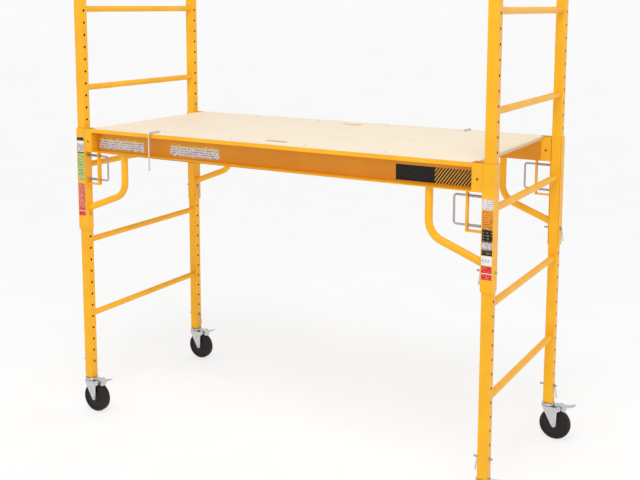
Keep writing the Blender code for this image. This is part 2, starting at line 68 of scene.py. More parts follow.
# The adjustment holes of a post are counted from 0 at the bottom.
PITCH = 0.0508
LOWEST_HOLE_Z = 0.2237
POST_HOLES = 34
LEG_HOLES = (18, 16)
BRACKET_PIN_HOLE = 13
CASTER_PIN_HOLE = 0


def middle(node):
    low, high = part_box(node)
    return (low + high) / 2


POST = {name: middle(f"post_{name}") for name in CORNERS}
CENTRE_X = (POST["front_left"].x + POST["front_right"].x) / 2


def hole_z(index):
    return LOWEST_HOLE_Z + index * PITCH


# ---------------------------------------------------------------- materials


class Nodes:
    """A material's node tree, with short calls to add and join nodes."""

    def __init__(self, name):
        self.material = bpy.data.materials.new(name)
        self.material.use_nodes = True
        self.tree = self.material.node_tree
        self.shader = self.tree.nodes["Principled BSDF"]
        self.place = self.add("ShaderNodeTexCoord").outputs["Object"]

    def add(self, kind, **inputs):
        node = self.tree.nodes.new(kind)
        for name, value in inputs.items():
            self.give(node.inputs[name.replace("_", " ")], value)
        return node

    def give(self, socket, value):
        if isinstance(value, bpy.types.NodeSocket):
            self.tree.links.new(value, socket)
        else:
            socket.default_value = value

    def stretched(self, scale):
        node = self.add("ShaderNodeMapping", Vector=self.place)
        node.inputs["Scale"].default_value = scale
        return node.outputs["Vector"]

    def noise(self, scale, detail=3.0, roughness=0.5, vector=None):
        node = self.add("ShaderNodeTexNoise", Scale=scale, Detail=detail, Roughness=roughness)
        self.give(node.inputs["Vector"], vector or self.place)
        return node.outputs["Fac"]

    def ramp(self, value, stops):
        """A colour for each value, blended between stops of (value, colour)."""
        node = self.add("ShaderNodeValToRGB", Fac=value)
        ramp = node.color_ramp
        while len(ramp.elements) < len(stops):
            ramp.elements.new(0.5)
        for element, (position, colour) in zip(ramp.elements, stops):
            element.position = position
            element.color = (*colour, 1.0)
        return node.outputs["Color"]

    def spread(self, value, low, high):
        """A 0 to 1 value put on another range."""
        node = self.add("ShaderNodeMapRange", Value=value)
        node.inputs["From Min"].default_value = 0.25
        node.inputs["From Max"].default_value = 0.75
        node.inputs["To Min"].default_value = low
        node.inputs["To Max"].default_value = high
        return node.outputs["Result"]

    def mix(self, factor, first, second):
        """The first colour where the factor is 0, and the second where it is 1."""
        node = self.add("ShaderNodeMix")
        node.data_type = "RGBA"
        self.give(node.inputs[0], factor)
        self.give(node.inputs[6], first)
        self.give(node.inputs[7], second)
        return node.outputs[2]

    def axis(self, name, vector=None):
        """One coordinate of a vector, or of the shaded point."""
        node = self.add("ShaderNodeSeparateXYZ", Vector=vector or self.place)
        return node.outputs[name]

    def math(self, operation, first, second=0.0):
        node = self.add("ShaderNodeMath")
        node.operation = operation
        self.give(node.inputs[0], first)
        self.give(node.inputs[1], second)
        return node.outputs["Value"]

    def bump(self, height, strength, distance):
        node = self.add("ShaderNodeBump", Height=height, Strength=strength, Distance=distance)
        self.give(self.shader.inputs["Normal"], node.outputs["Normal"])

    def set(self, **inputs):
        for name, value in inputs.items():
            self.give(self.shader.inputs[name.replace("_", " ")], value)


def linear(red, green, blue):
    """A colour given as 0 to 255 display values, in the linear values that shaders take."""
    values = [value / 255 for value in (red, green, blue)]
    return tuple(v / 12.92 if v <= 0.04045 else ((v + 0.055) / 1.055) ** 2.4 for v in values)


# Painted shade on a side channel fades from its web out into its flanges, over these distances from the
# middle of the deck.
RECESS_SHADE_Y = (0.3585, 0.3650)


def powder_coat(name, recess_shaded=False):
    """Yellow powder coat: orange peel, faint cloudiness and slightly uneven gloss.

    The recess-shaded coat is deeper in colour on the web of a side channel, as painted shade for the shade
    inside the channel's recess.
    """
    made = Nodes(name)
    cloud = made.noise(9.0, 4.0, 0.6)
    colour = made.ramp(
        cloud,
        [(0.30, linear(240, 171, 22)), (0.52, linear(245, 178, 27)), (0.72, linear(249, 185, 35))],
    )
    # Painted shade: the web of a side channel turns a deeper yellow, standing in for the shade under its
    # flanges.
    if recess_shaded:
        outward = made.add("ShaderNodeMapRange", Value=made.math("ABSOLUTE", made.axis("Y")))
        outward.inputs["From Min"].default_value = RECESS_SHADE_Y[0]
        outward.inputs["From Max"].default_value = RECESS_SHADE_Y[1]
        recess_shade = made.ramp(cloud, [(0.3, linear(216, 142, 24)), (0.7, linear(223, 149, 30))])
        colour = made.mix(outward.outputs["Result"], recess_shade, colour)
    gloss = made.spread(made.noise(40.0, 3.0, 0.6), 0.30, 0.42)
    made.bump(made.noise(650.0, 2.0, 0.5), 0.12, 0.0004)
    made.set(Base_Color=colour, Roughness=gloss, Specular_IOR_Level=0.25)
    made.set(Coat_Weight=0.06, Coat_Roughness=0.20)
    return made.material


def zinc_plate(name, dark, light):
    """Zinc plate: grey with a faint spangle and fine drawing marks."""
    made = Nodes(name)
    spangle = made.add("ShaderNodeTexVoronoi", Scale=160.0, Vector=made.place)
    shade = made.math("ADD", spangle.outputs["Distance"], made.noise(60.0, 3.0, 0.6))
    colour = made.ramp(shade, [(0.35, dark), (0.95, light)])
    gloss = made.spread(made.noise(220.0, 4.0, 0.7), 0.28, 0.46)
    made.bump(made.noise(900.0, 2.0, 0.6), 0.10, 0.0003)
    made.set(Base_Color=colour, Roughness=gloss, Metallic=1.0)
    return made.material


def bare_steel_and_shade():
    """The uncoated inside of a tube, brown with mill scale and darkened further as painted shade for the dim
    inside of the tube and its holes.
    """
    made = Nodes("bare_steel_and_shade")
    scale = made.noise(80.0, 4.0, 0.6)
    # Dark brown: mill scale, darkened further as painted shade inside the tube.
    made.set(Base_Color=made.ramp(scale, [(0.3, linear(58, 40, 26)), (0.7, linear(84, 60, 40))]))
    made.set(Roughness=made.spread(scale, 0.6, 0.8))
    return made.material


# A 12.7 mm board holds three and a half pairs of plies.
PLY_PAIR = 0.0127 / 3.5


def plywood():
    """Pale plywood: long grain on the faces, and glued plies where the edge shows."""
    made = Nodes("plywood")
    grain = made.noise(1.0, 6.0, 0.62, made.stretched((3.0, 90.0, 20.0)))
    cathedral = made.noise(1.0, 2.0, 0.5, made.stretched((0.9, 5.5, 3.0)))
    rings = made.math("SINE", made.math("MULTIPLY", cathedral, 60.0))
    figure = made.math("ADD", grain, made.math("MULTIPLY", rings, 0.015))
    face = made.ramp(
        figure,
        [(0.28, linear(242, 225, 199)), (0.50, linear(249, 234, 210)), (0.72, linear(253, 240, 219))],
    )
    height = made.math("MULTIPLY", made.axis("Z"), 2 * math.pi / PLY_PAIR)
    layer = made.math("ADD", made.math("MULTIPLY", made.math("SINE", height), 0.5), 0.5)
    edge = made.ramp(layer, [(0.35, linear(196, 158, 110)), (0.55, linear(232, 210, 172))])
    normal = made.add("ShaderNodeNewGeometry").outputs["Normal"]
    level = made.math("GREATER_THAN", made.math("ABSOLUTE", made.axis("Z", normal)), 0.5)
    made.bump(grain, 0.10, 0.0004)
    made.set(Base_Color=made.mix(level, edge, face), Roughness=made.spread(grain, 0.52, 0.70))
    return made.material


def dark_tread():
    """Dark brown-black wheel: moulded, dusty in patches."""
    made = Nodes("dark_tread")
    dust = made.noise(70.0, 5.0, 0.65)
    colour = made.ramp(dust, [(0.35, (0.0110, 0.0070, 0.0062)), (0.75, (0.0240, 0.0160, 0.0145))])
    made.bump(made.noise(500.0, 3.0, 0.6), 0.20, 0.0004)
    made.set(Base_Color=colour, Roughness=made.spread(dust, 0.55, 0.75), Specular_IOR_Level=0.30)
    return made.material


def label_film(name, colour, ink=None, line=0.0040, word=240.0):
    """Printed film with faint wear. Ink adds lines of short marks, which say nothing.

    line is the height of a line, and a larger word gives shorter marks.
    """
    made = Nodes(name)
    wear = made.noise(120.0, 4.0, 0.6)
    worn = tuple(value * 0.88 for value in colour)
    base = made.ramp(wear, [(0.35, worn), (0.60, colour)])
    if ink:
        wave = made.math("SINE", made.math("MULTIPLY", made.axis("Z"), 2 * math.pi / line))
        lines = made.math("GREATER_THAN", wave, -0.1)
        marks = made.noise(1.0, 1.0, 0.5, made.stretched((word, 1.0, 0.8 / line)))
        print_here = made.math("MULTIPLY", lines, made.math("GREATER_THAN", marks, 0.47))
        base = made.mix(print_here, base, (*ink, 1.0))
    made.bump(wear, 0.05, 0.0002)
    made.set(Base_Color=base, Roughness=made.spread(wear, 0.34, 0.46), Specular_IOR_Level=0.20)
    return made.material


HAZARD_PITCH = 0.0115
HAZARD_SLANT = -0.75
HAZARD_FROM_X = 0.700


def hazard_film():
    """Black film with slanting yellow dashes at one end."""
    made = Nodes("hazard_film")
    slant = made.math("ADD", made.math("MULTIPLY", made.axis("Z"), HAZARD_SLANT), made.axis("X"))
    wave = made.math("SINE", made.math("MULTIPLY", slant, 2 * math.pi / HAZARD_PITCH))
    stripes = made.math("GREATER_THAN", wave, 0.25)
    at_end = made.math("GREATER_THAN", made.axis("X"), CENTRE_X + HAZARD_FROM_X)
    black = made.ramp(made.noise(90.0), [(0.3, (0.012,) * 3), (0.7, (0.022,) * 3)])
    yellow = (*linear(222, 168, 62), 1.0)
    colour = made.mix(made.math("MULTIPLY", stripes, at_end), black, yellow)
    made.bump(made.noise(400.0), 0.05, 0.0002)
    made.set(Base_Color=colour, Roughness=made.spread(made.noise(80.0), 0.34, 0.46))
    made.set(Specular_IOR_Level=0.15)
    return made.material


YELLOW = powder_coat("yellow_powder_coat")
# Yellow with painted shade on the web of a side channel.
RECESS_SHADED_YELLOW = powder_coat("recessed_powder_coat", recess_shaded=True)
INSIDE_STEEL_SHADE = bare_steel_and_shade()
ZINC = zinc_plate("zinc_plate", (0.40, 0.40, 0.41), (0.62, 0.62, 0.63))
ROD_ZINC = zinc_plate("dull_zinc", (0.30, 0.27, 0.28), (0.50, 0.46, 0.47))
BRIGHT_ZINC = zinc_plate("bright_zinc", (0.50, 0.48, 0.44), (0.74, 0.71, 0.66))
WOOD = plywood()
TREAD = dark_tread()
FILMS = {
    "white": label_film("film_white", linear(236, 236, 236)),
    "bars": label_film("film_bars", linear(236, 236, 236), linear(104, 100, 104), 0.0060, 420.0),
    "grey_print": label_film("film_grey_print", linear(214, 214, 216), linear(118, 112, 112), 0.0042),
    "tall_print": label_film("film_tall_print", linear(222, 224, 232), linear(146, 142, 144), 0.0095, 300.0),
    "pale_blue": label_film("film_pale_blue", linear(226, 224, 230), linear(178, 174, 182), 0.0075),
    "amber": label_film("film_amber", linear(230, 150, 46), linear(172, 110, 48), 0.0080, 200.0),
    "black": label_film("film_black", linear(20, 17, 15), linear(120, 108, 92), 0.0100, 200.0),
    "dark": label_film("film_dark", linear(40, 36, 32)),
    "red": label_film("film_red", linear(206, 44, 42), linear(232, 110, 104), 0.0060, 220.0),
    "pink": label_film("film_pink", linear(206, 90, 74), linear(230, 166, 138), 0.0050, 260.0),
    "green": label_film("film_green", linear(136, 170, 86), linear(212, 208, 152), 0.0085, 180.0),
    "yellow": label_film("film_yellow", linear(236, 200, 96), linear(166, 140, 70), 0.0100, 260.0),
    # Painted shade: a dark yellow strip for the shaded crevice where a bracket's end block meets its sleeve.
    "seam": label_film("seam_shade_film", linear(150, 96, 18)),
}
HAZARD = hazard_film()


# ---------------------------------------------------------------- mesh tools


def mesh_of(vertices, faces):
    """A bmesh with its faces turned outward."""
    bm = bmesh.new()
    made = [bm.verts.new(vertex) for vertex in vertices]
    for face in faces:
        bm.faces.new([made[index] for index in face])
    bmesh.ops.recalc_face_normals(bm, faces=bm.faces)
    return bm


def gather(meshes):
    """One bmesh from several."""
    whole = bmesh.new()
    for part in meshes:
        mesh = bpy.data.meshes.new("part")
        part.to_mesh(mesh)
        part.free()
        whole.from_mesh(mesh)
        bpy.data.meshes.remove(mesh)
    return whole


def object_of(name, bm):
    """A plain object from a bmesh, which it uses up."""
    mesh = bpy.data.meshes.new(name)
    bm.to_mesh(mesh)
    bm.free()
    obj = bpy.data.objects.new(name, mesh)
    bpy.context.scene.collection.objects.link(obj)
    return obj


def piece(name, bm, material, body, angle=35, bevel=0.0):
    """A visible piece that rides on a body. Edges sharper than angle, in degrees, stay sharp."""
    obj = object_of(name, bm)
    obj.data.materials.append(material)
    obj.data.shade_smooth()
    obj.data.set_sharp_from_angle(angle=math.radians(angle))
    if bevel:
        add_bevel(obj, bevel)
    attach(obj, body)
    return obj


def add_bevel(obj, width):
    modifier = obj.modifiers.new("edges", "BEVEL")
    modifier.width = width
    modifier.segments = 2
    modifier.limit_method = "ANGLE"
    modifier.angle_limit = math.radians(40)


def ring_faces(first, second, count):
    """Quads between two rings of vertices, given by the number of each ring's first vertex."""
    return [
        (first + i, first + (i + 1) % count, second + (i + 1) % count, second + i)
        for i in range(count)
    ]


def ring(centre, across, up, radius, sides):
    """Points on a circle."""
    turns = [2 * math.pi * i / sides for i in range(sides)]
    return [centre + (across * math.cos(t) + up * math.sin(t)) * radius for t in turns]


def lathe(centre, along, profile, sides=32, bored=False):
    """Rings of (radius, distance along the axis). A bored piece joins its last ring to its first."""
    across = along.orthogonal().normalized()
    up = along.cross(across)
    vertices = []
    for radius, offset in profile:
        vertices += ring(Vector(centre) + along * offset, across, up, radius, sides)
    count = len(profile)
    faces = []
    for index in range(count if bored else count - 1):
        faces += ring_faces(index * sides, (index + 1) % count * sides, sides)
    if not bored:
        faces += [tuple(range(sides)), tuple(range((count - 1) * sides, count * sides))]
    return mesh_of(vertices, faces)


def sweep(path, radius, sides=14, side_axis=Y_AXIS, closed=False, end_normal=None):
    """A round bar along a path, cut at its end square to end_normal where that is given."""
    path = [Vector(point) for point in path]
    count = len(path)
    vertices = []
    for index, point in enumerate(path):
        before = path[index - 1] if closed or index else point
        after = path[(index + 1) % count] if closed or index + 1 < count else point
        step = (after - before).normalized()
        across = step.cross(side_axis).normalized()
        up = step.cross(across)
        spokes = ring(Vector(), across, up, radius, sides)
        if end_normal is not None and index == count - 1:
            spokes = [s - step * (s.dot(end_normal) / step.dot(end_normal)) for s in spokes]
        vertices += [point + spoke for spoke in spokes]
    faces = []
    for index in range(count if closed else count - 1):
        faces += ring_faces(index * sides, (index + 1) % count * sides, sides)
    if not closed:
        last = (count - 1) * sides
        faces += [tuple(range(sides)), tuple(range(last, last + sides))]
    return mesh_of(vertices, faces)


def arc(centre, radius, start, end, steps):
    """Points (a, b) on an arc, with its angles in degrees."""
    angles = [math.radians(start + (end - start) * i / steps) for i in range(steps + 1)]
    return [(centre[0] + radius * math.cos(t), centre[1] + radius * math.sin(t)) for t in angles]


def rounded(low, high, radius, steps=3):
    """The outline of a rectangle with round corners."""
    points = arc((high[0] - radius, high[1] - radius), radius, 0, 90, steps)
    points += arc((low[0] + radius, high[1] - radius), radius, 90, 180, steps)
    points += arc((low[0] + radius, low[1] + radius), radius, 180, 270, steps)
    points += arc((high[0] - radius, low[1] + radius), radius, 270, 360, steps)
    return points


def plate(outline, place, thickness):
    """An outline of (a, b) put in space by place(a, b, depth), for depths 0 and thickness."""
    count = len(outline)
    vertices = [place(a, b, depth) for depth in (0.0, thickness) for a, b in outline]
    ends = [tuple(range(count)), tuple(range(count, 2 * count))]
    return mesh_of(vertices, ring_faces(0, count, count) + ends)


def weld_bead(centre, along, radius, size=0.0014, sides=36):
    """A ring of weld round a tube's end, with small uneven ripples."""
    across = along.orthogonal().normalized()
    up = along.cross(across)
    path = []
    for i in range(sides):
        turn = 2 * math.pi * i / sides
        reach = radius + 0.0003 * math.sin(7 * turn) + 0.0002 * math.sin(17 * turn)
        path.append(centre + (across * math.cos(turn) + up * math.sin(turn)) * reach)
    return sweep(path, size, 8, along, closed=True)


# ---------------------------------------------------------------- frame pieces

POST_HALF = 0.01905
POST_WALL = 0.002
POST_CORNER = 0.0030
POST_INNER_CORNER = 0.0015
HOLE_RADIUS = 0.0052
HOLE_SIDES = 16
DRILL_REACH = 0.03
RUNGS_PER_SIDE = 5
RUNG_RADIUS = 0.0127
RUNG_WALL = 0.0016
WELD_SINK = 0.0009


def post_mesh():
    """One post about its own axis: a round-cornered tube, in whose X walls drilled_post cuts the row of
    round holes.
    """
    low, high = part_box("post_front_left")
    outer = rounded((-POST_HALF,) * 2, (POST_HALF,) * 2, POST_CORNER)
    inner_half = POST_HALF - POST_WALL
    inner = rounded((-inner_half,) * 2, (inner_half,) * 2, POST_INNER_CORNER)
    loops = [(outer, low.z), (outer, high.z), (inner, high.z), (inner, low.z)]
    vertices = [(x, y, z) for outline, z in loops for x, y in outline]
    count = len(outer)
    faces = []
    for index in range(4):
        faces += ring_faces(index * count, (index + 1) % 4 * count, count)
    return mesh_of(vertices, faces)


def is_bare_and_shaded(face):
    """Whether a face of a drilled post takes the bare steel with painted shade: the tube's inside and the
    walls of its holes.
    """
    place, normal = face.center, face.normal
    faces_in = place.x * normal.x + place.y * normal.y < -0.005
    in_hole = abs(place.y) < HOLE_RADIUS and abs(normal.x) < 0.3 and abs(normal.z) < 0.999
    at_end = abs(normal.z) > 0.9 and abs(place.y) > HOLE_RADIUS
    return (faces_in or in_hole) and not at_end


def drilled_post():
    """The post's mesh with its holes cut, and material 1, bare steel darkened as painted shade, on its bare
    faces.
    """
    tube = object_of("post_blank", post_mesh())
    drill = [(HOLE_RADIUS, -DRILL_REACH), (HOLE_RADIUS, DRILL_REACH)]
    drills = [lathe((0, 0, hole_z(i)), X_AXIS, drill, HOLE_SIDES) for i in range(POST_HOLES)]
    cutter = object_of("post_drills", gather(drills))
    modifier = tube.modifiers.new("holes", "BOOLEAN")
    modifier.operation = "DIFFERENCE"
    modifier.solver = "EXACT"
    modifier.object = cutter
    graph = bpy.context.evaluated_depsgraph_get()
    mesh = bpy.data.meshes.new_from_object(tube.evaluated_get(graph))
    bpy.data.objects.remove(tube)
    bpy.data.objects.remove(cutter)
    for face in mesh.polygons:
        face.material_index = int(is_bare_and_shaded(face))
    return mesh


def make_posts():
    blank = drilled_post()
    for name, centre in POST.items():
        bm = bmesh.new()
        bm.from_mesh(blank)
        bmesh.ops.translate(bm, verts=bm.verts, vec=(centre.x, centre.y, 0))
        post = piece(f"post_tube_{name}", bm, YELLOW, "frame", 40)
        # Material 1: bare steel, darkened as painted shade for the inside of the tube and its holes.
        post.data.materials.append(INSIDE_STEEL_SHADE)
        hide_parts(f"post_{name}")
    bpy.data.meshes.remove(blank)


def make_rungs():
    """Round tubes with a weld bead at each end."""
    inner = RUNG_RADIUS - RUNG_WALL
    for side in ("left", "right"):
        for number in range(1, RUNGS_PER_SIDE + 1):
            node = f"rung_{side}_{number}"
            low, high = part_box(node)
            centre = (low + high) / 2
            half = (high.y - low.y) / 2
            profile = [(RUNG_RADIUS, -half), (RUNG_RADIUS, half), (inner, half), (inner, -half)]
            parts = [lathe(centre, Y_AXIS, profile, 32, bored=True)]
            for sign in (-1, 1):
                end = centre + Y_AXIS * sign * (half - WELD_SINK)
                parts.append(weld_bead(end, Y_AXIS, RUNG_RADIUS))
            rung = piece(f"rung_tube_{side}_{number}", gather(parts), YELLOW, "frame")
            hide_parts(node)


# ---------------------------------------------------------------- platform pieces

BRACE_RADIUS = 0.014
BRACE_TOP_X = 0.6875
BRACE_BEND_RADIUS = 0.075
BRACE_BEND_Z = 1.040
BRACE_SLOPE = math.radians(21.2)
BRACE_END_X = 0.8870
BRACE_GAP = 0.0003
BRACE_WELD_SINK = 0.001
BRACE_FOOT_SPREAD = 1.02
CHANNEL_BOTTOM_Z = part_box("side_channel_front")[0].z


def make_braces():
    """Bent tubes from the channels down to the sleeves, welded at both ends."""
    for name, (sx, sy) in CORNERS.items():
        y = POST[name].y
        centre = (BRACE_TOP_X + BRACE_BEND_RADIUS, BRACE_BEND_Z)
        bend = arc(centre, BRACE_BEND_RADIUS, 180, 270 - math.degrees(BRACE_SLOPE), 14)
        last_x, last_z = bend[-1]
        end_z = last_z - (BRACE_END_X - last_x) * math.tan(BRACE_SLOPE)
        points = [(BRACE_TOP_X, CHANNEL_BOTTOM_Z - BRACE_GAP)] + bend + [(BRACE_END_X, end_z)]
        path = [(CENTRE_X + sx * x, y, z) for x, z in points]
        tube = sweep(path, BRACE_RADIUS, 28, end_normal=X_AXIS)
        top = weld_bead(Vector(path[0]) - Z_AXIS * BRACE_WELD_SINK, Z_AXIS, BRACE_RADIUS)
        foot_place = Vector(path[-1]) - X_AXIS * sx * BRACE_WELD_SINK
        foot = weld_bead(foot_place, X_AXIS, BRACE_RADIUS * BRACE_FOOT_SPREAD)
        welded = gather([tube, top, foot])
        brace = piece(f"brace_tube_{name}", welded, YELLOW, "platform")
        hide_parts(f"brace_{name}")


LEG_RADIUS = 0.004
LEG_TIP_X = 0.928
LEG_BAR_X = 0.780
LEG_BEND = 0.010
GUIDE_FACE_X = 0.831
COLLAR_X = (0.8835, 0.8860)
COLLAR_RADIUS = 0.0065
COLLAR_EDGE = (0.0004, 0.0005)
SPRING_RADIUS = 0.0051
SPRING_WIRE = 0.0006
SPRING_TURNS = 11
SPRING_STEPS = 14


def make_spring_pins():
    """U pins with rolled collars, and the compression springs between guide and collar."""
    upper, lower = (hole_z(i) for i in LEG_HOLES)
    bend_x = LEG_BAR_X + LEG_BEND
    outline = [(LEG_TIP_X, upper)] + arc((bend_x, upper - LEG_BEND), LEG_BEND, 90, 180, 7)
    outline += arc((bend_x, lower + LEG_BEND), LEG_BEND, 180, 270, 7) + [(LEG_TIP_X, lower)]
    width = COLLAR_X[1] - COLLAR_X[0]
    edge = COLLAR_RADIUS - COLLAR_EDGE[0]
    bevel = COLLAR_EDGE[1]
    collar = [(edge, 0), (COLLAR_RADIUS, bevel), (COLLAR_RADIUS, width - bevel), (edge, width)]
    for name, (sx, _) in CORNERS.items():
        y = POST[name].y
        parts = [sweep([(CENTRE_X + sx * x, y, z) for x, z in outline], LEG_RADIUS, 16)]
        for level, z in (("upper", upper), ("lower", lower)):
            start = Vector((CENTRE_X + sx * COLLAR_X[0], y, z))
            parts.append(lathe(start, X_AXIS * sx, collar, 24))
            make_spring(f"{level}_{name}", sx, y, z)
        body = f"spring_pin_{name}"
        pin = piece(f"spring_pin_rod_{name}", gather(parts), ROD_ZINC, body)
        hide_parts(body)


def make_spring(name, sx, y, z):
    """A coil round one leg of a U pin, from the guide to the collar. The real one is squashed against the
    guide as the pin is pulled; this one rides on the platform and keeps its shape.
    """
    start = GUIDE_FACE_X + SPRING_WIRE
    end = COLLAR_X[0] - SPRING_WIRE
    steps = SPRING_TURNS * SPRING_STEPS
    path = []
    for i in range(steps + 1):
        turn = 2 * math.pi * SPRING_TURNS * i / steps
        x = start + (end - start) * i / steps
        coil_y = y + SPRING_RADIUS * math.cos(turn)
        coil_z = z + SPRING_RADIUS * math.sin(turn)
        path.append(Vector((CENTRE_X + sx * x, coil_y, coil_z)))
    wire = sweep(path, SPRING_WIRE, 6, X_AXIS)
    spring = piece(f"pin_spring_{name}", wire, ROD_ZINC, "platform")
    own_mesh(spring)


PIN_RADIUS = 0.00395
PIN_COLLAR_RADIUS = 0.008
PIN_COLLAR = 0.003
PIN_GAP = 0.0004
PIN_EDGE = 0.0006
PIN_TIP_TAPER = 0.002
BAIL_REST = 0.0022
BAIL_WIRE = 0.0010
BAIL_HALF = 0.0062
BAIL_LENGTH = 0.056
BAIL_LEAN = 0.008
# Each kind: half width of what it goes through, its reach to -X and to +X, and its hole.
CROSS_PINS = {
    "bracket_pin": (0.0227, 0.0430, 0.0305, BRACKET_PIN_HOLE),
    "caster_pin": (POST_HALF, 0.0385, 0.0315, CASTER_PIN_HOLE),
}


def make_cross_pins():
    """The loose pins. A front pin has its head toward -X, and a rear pin toward +X."""
    for kind, (face, left, right, index) in CROSS_PINS.items():
        for name, (_, sy) in CORNERS.items():
            centre = Vector((POST[name].x, POST[name].y, hole_z(index)))
            along = X_AXIS * sy
            head, tip = (left, right) if sy < 0 else (right, left)
            body = f"{kind}_{name}"
            pin = cross_pin(centre, along, face + PIN_GAP, head, tip)
            made = piece(f"{kind}_shank_{name}", pin, ROD_ZINC, body)
            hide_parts(body)
            bail = wire_bail(centre + along * (face + PIN_GAP + PIN_COLLAR + BAIL_REST), along)
            piece(f"{kind}_bail_{name}", bail, ROD_ZINC, body)


def cross_pin(centre, along, face, head, tip):
    """Chamfered shank, rolled collar and a domed head end."""
    edge = PIN_EDGE
    profile = [
        (PIN_RADIUS * 0.45, head),
        (PIN_RADIUS * 0.85, head - edge),
        (PIN_RADIUS, head - 2 * edge),
        (PIN_RADIUS, face + PIN_COLLAR),
        (PIN_COLLAR_RADIUS - edge, face + PIN_COLLAR),
        (PIN_COLLAR_RADIUS, face + PIN_COLLAR - edge),
        (PIN_COLLAR_RADIUS, face + edge),
        (PIN_COLLAR_RADIUS - edge, face),
        (PIN_RADIUS, face),
        (PIN_RADIUS, PIN_TIP_TAPER - tip),
        (PIN_RADIUS * 0.5, -tip),
    ]
    return lathe(centre, along, profile, 24)


def wire_bail(top, along):
    """A wire loop through the head of a pin, hanging across the pin."""
    outline = arc((0, 0), BAIL_HALF, 0, 180, 10)
    outline += arc((0, -BAIL_LENGTH + 2 * BAIL_HALF), BAIL_HALF * 0.8, 180, 360, 10)
    lift = BAIL_WIRE + PIN_RADIUS - BAIL_HALF
    lean = along * BAIL_LEAN
    path = []
    for y, z in outline:
        share = max(0.0, -z) / BAIL_LENGTH
        path.append(top + Y_AXIS * y + Z_AXIS * (z + lift) + lean * share)
    return sweep(path, BAIL_WIRE, 8, along, closed=True)


# ---------------------------------------------------------------- deck

LATCH_BEND = 0.008
LATCH_RADIUS = 0.004
RIVET_RADIUS = 0.0055
RIVET_Y = 0.340
CROSS_MEMBERS = range(1, 5)


def make_deck_latches():
    """Bent rods: a leg down through the channel's lugs, and an arm over the deck."""
    for side, sy in SIDES.items():
        node = f"deck_latch_{side}"
        low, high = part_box(node)
        x = (low.x + high.x) / 2
        outer = max(abs(low.y), abs(high.y)) - LATCH_RADIUS
        inner = min(abs(low.y), abs(high.y))
        arm_z = high.z - LATCH_RADIUS
        bend = arc((outer - LATCH_BEND, arm_z - LATCH_BEND), LATCH_BEND, 0, 90, 8)
        path = [(outer, low.z)] + bend + [(inner, arm_z)]
        rod = sweep([(x, sy * y, z) for y, z in path], LATCH_RADIUS - 0.0001, 16, X_AXIS)
        latch = piece(f"deck_latch_rod_{side}", rod, BRIGHT_ZINC, node, bevel=0.0006)
        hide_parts(node)


def make_rivets():
    """Domed rivets that hold the plywood to its cross members."""
    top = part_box("deck_panel")[1].z
    dome = [
        (RIVET_RADIUS, -0.0002),
        (RIVET_RADIUS * 0.92, 0.0007),
        (RIVET_RADIUS * 0.65, 0.0013),
        (RIVET_RADIUS * 0.15, 0.0016),
    ]
    for number in CROSS_MEMBERS:
        x = middle(f"deck_cross_member_{number}").x
        domes = [lathe((x, y, top), Z_AXIS, dome, 20) for y in (-RIVET_Y, RIVET_Y)]
        piece(f"deck_rivets_{number}", gather(domes), ZINC, "deck")


# ---------------------------------------------------------------- casters

TRAIL = 0.030
WHEEL_RADIUS = 0.0635
# One side of the wheel, from the middle of its tread to its bore: radius and distance along the axle.
WHEEL_SIDE = [
    (WHEEL_RADIUS, 0.0045),
    (0.0631, 0.0090),
    (0.0619, 0.0128),
    (0.0595, 0.0155),
    (0.0575, 0.0160),
    (0.0520, 0.0160),
    (0.0505, 0.0150),
    (0.0495, 0.0128),
    (0.0260, 0.0118),
    (0.0235, 0.0130),
    (0.0215, 0.0165),
    (0.0165, 0.0190),
    (0.0150, 0.0210),
    (0.0054, 0.0210),
]
# The rim of a ball race: radius and height.
RACEWAY = [
    (0.0262, 0.1402),
    (0.0278, 0.1418),
    (0.0286, 0.1442),
    (0.0278, 0.1466),
    (0.0262, 0.1482),
    (0.0255, 0.1482),
    (0.0255, 0.1402),
]


def make_wheels():
    """Crowned tread, a step at the core, and a hub round the axle."""
    profile = [(radius, -depth) for radius, depth in reversed(WHEEL_SIDE)] + WHEEL_SIDE
    for name in CORNERS:
        centre = Vector((POST[name].x + TRAIL, POST[name].y, WHEEL_RADIUS))
        body = f"caster_wheel_{name}"
        mesh = lathe(centre, Y_AXIS, profile, 64, bored=True)
        wheel = piece(f"caster_tyre_{name}", mesh, TREAD, body, 30)
        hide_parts(body)


def make_raceways():
    """Rolled rims round the ball races under the posts."""
    for name, centre in POST.items():
        cap = lathe((centre.x, centre.y, 0), Z_AXIS, RACEWAY, 48, bored=True)
        piece(f"raceway_{name}", cap, ZINC, "frame", 50)


RIBS = 4
RIB_FIRST_X = 0.0915
RIB_SPACING = 0.0055
RIB_HALF = 0.0125
RIB_RADIUS = 0.0009
RIB_LIFT = 0.0002
# The foot plate's rise: where it starts from the post's axis, its height there, and its slope.
PEDAL_SLOPE = (0.088, 0.1485, 0.0085 / 0.0230)


def make_pedal_ribs():
    """Raised ribs across the foot lever, where the shoe grips it."""
    start, height, slope = PEDAL_SLOPE
    for name, centre in POST.items():
        ribs = []
        for i in range(RIBS):
            x = RIB_FIRST_X + RIB_SPACING * i
            z = height + (x - start) * slope + RIB_LIFT
            ends = [(centre.x + x, centre.y + side * RIB_HALF, z) for side in (-1, 1)]
            ribs.append(sweep(ends, RIB_RADIUS, 8, Z_AXIS))
        piece(f"pedal_ribs_{name}", gather(ribs), ZINC, f"brake_pedal_{name}")


# ---------------------------------------------------------------- labels

FILM = 0.00025
FILM_LIFT = 0.00005
LABEL_CORNER = 0.0012
LABEL_OFFSET = -0.001
LABEL_HALF = 0.0188
